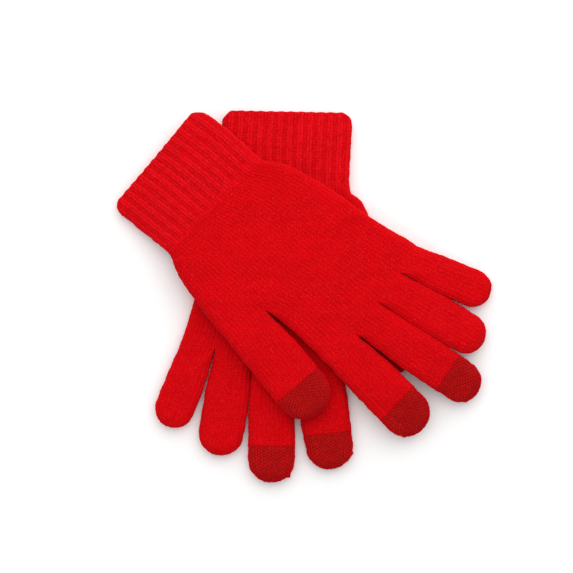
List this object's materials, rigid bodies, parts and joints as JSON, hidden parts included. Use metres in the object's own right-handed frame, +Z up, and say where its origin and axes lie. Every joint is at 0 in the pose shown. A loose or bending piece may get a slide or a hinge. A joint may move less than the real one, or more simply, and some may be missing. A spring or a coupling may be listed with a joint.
{
  "type": "pair of knitted touchscreen gloves",
  "caption": "Pair of red knitted gloves lying crossed, with ribbed cuffs and darker conductive thumb, index and middle fingertips that bend at the knuckles and wrist.",
  "frame": {"origin": "centre of the pair's bounding box, on the surface that the gloves lie on", "axes": "+Z up from the surface; the two gloves' headings mirror each other about the line halfway between +X and -Y, each 16.6 degrees from its axis: the upper glove points near +X, the lower near -Y"},
  "size_m": [0.2424, 0.2236, 0.0205],
  "materials": {
    "plain_knit": "bright red plain-knit acrylic, matt with a soft fuzz",
    "rib_knit": "the same red yarn in an elastic rib",
    "cuff_edge": "the rib's cast-on edge",
    "conductive_knit": "dark red conductive yarn, a little coarser, matt"
  },
  "bodies": {
    "lower_hand": {"lower_hand": "plain_knit"},
    "lower_cuff": {"lower_welt": "cuff_edge", "lower_cuff": "rib_knit"},
    "lower_thumb": {"lower_thumb": "plain_knit", "lower_thumb_tip": "conductive_knit"},
    "lower_index": {"lower_index_finger": "plain_knit", "lower_index_tip": "conductive_knit"},
    "lower_middle": {"lower_middle_finger": "plain_knit", "lower_middle_tip": "conductive_knit"},
    "lower_ring": {"lower_ring_finger": "plain_knit"},
    "lower_little": {"lower_little_finger": "plain_knit"},
    "upper_hand": {"upper_hand": "plain_knit"},
    "upper_cuff": {"upper_welt": "cuff_edge", "upper_cuff": "rib_knit"},
    "upper_thumb": {"upper_thumb": "plain_knit", "upper_thumb_tip": "conductive_knit"},
    "upper_index": {"upper_index_finger": "plain_knit", "upper_index_tip": "conductive_knit"},
    "upper_middle": {"upper_middle_finger": "plain_knit", "upper_middle_tip": "conductive_knit"},
    "upper_ring": {"upper_ring_finger": "plain_knit"},
    "upper_little": {"upper_little_finger": "plain_knit"}
  },
  "joints": [
    {"name": "upper_glove_lift", "type": "slide", "parent": "lower_hand", "child": "upper_hand", "axis": [0, 0, 1], "range_m": [0, 0.25]},
    {"name": "lower_wrist_bend", "type": "hinge", "parent": "lower_hand", "child": "lower_cuff", "pos_m": [-0.02786, 0.05698, 0], "axis": [-0.9522, -0.3056, 0], "range_deg": [0, 70]},
    {"name": "lower_thumb_bend", "type": "hinge", "parent": "lower_hand", "child": "lower_thumb", "pos_m": [0.03132, 0.02683, 0], "axis": [0.7647, 0.6444, 0], "range_deg": [0, 60]},
    {"name": "lower_index_bend", "type": "hinge", "parent": "lower_hand", "child": "lower_index", "pos_m": [0.02172, -0.02831, 0], "axis": [0.9583, 0.2857, 0], "range_deg": [0, 90]},
    {"name": "lower_middle_bend", "type": "hinge", "parent": "lower_hand", "child": "lower_middle", "pos_m": [-0.00363, -0.03587, 0], "axis": [0.9583, 0.2857, 0], "range_deg": [0, 90]},
    {"name": "lower_ring_bend", "type": "hinge", "parent": "lower_hand", "child": "lower_ring", "pos_m": [-0.02519, -0.0423, 0], "axis": [0.9583, 0.2857, 0], "range_deg": [0, 90]},
    {"name": "lower_little_bend", "type": "hinge", "parent": "lower_hand", "child": "lower_little", "pos_m": [-0.04431, -0.048, 0], "axis": [0.9583, 0.2857, 0], "range_deg": [0, 90]},
    {"name": "upper_wrist_bend", "type": "hinge", "parent": "upper_hand", "child": "upper_cuff", "pos_m": [-0.0625, 0.03484, 0.0205], "axis": [0.4356, 0.9001, 0], "range_deg": [0, 70]},
    {"name": "upper_thumb_bend", "type": "hinge", "parent": "upper_hand", "child": "upper_thumb", "pos_m": [-0.02289, -0.02658, 0.0205], "axis": [-0.5175, -0.8557, 0], "range_deg": [0, 60]},
    {"name": "upper_index_bend", "type": "hinge", "parent": "upper_hand", "child": "upper_index", "pos_m": [0.03633, -0.02237, 0.0205], "axis": [-0.2857, -0.9583, 0], "range_deg": [0, 90]},
    {"name": "upper_middle_bend", "type": "hinge", "parent": "upper_hand", "child": "upper_middle", "pos_m": [0.04321, 0.00072, 0.0205], "axis": [-0.2857, -0.9583, 0], "range_deg": [0, 90]},
    {"name": "upper_ring_bend", "type": "hinge", "parent": "upper_hand", "child": "upper_ring", "pos_m": [0.04955, 0.022, 0.0205], "axis": [-0.2857, -0.9583, 0], "range_deg": [0, 90]},
    {"name": "upper_little_bend", "type": "hinge", "parent": "upper_hand", "child": "upper_little", "pos_m": [0.05541, 0.04164, 0.0205], "axis": [-0.2857, -0.9583, 0], "range_deg": [0, 90]}
  ]
}
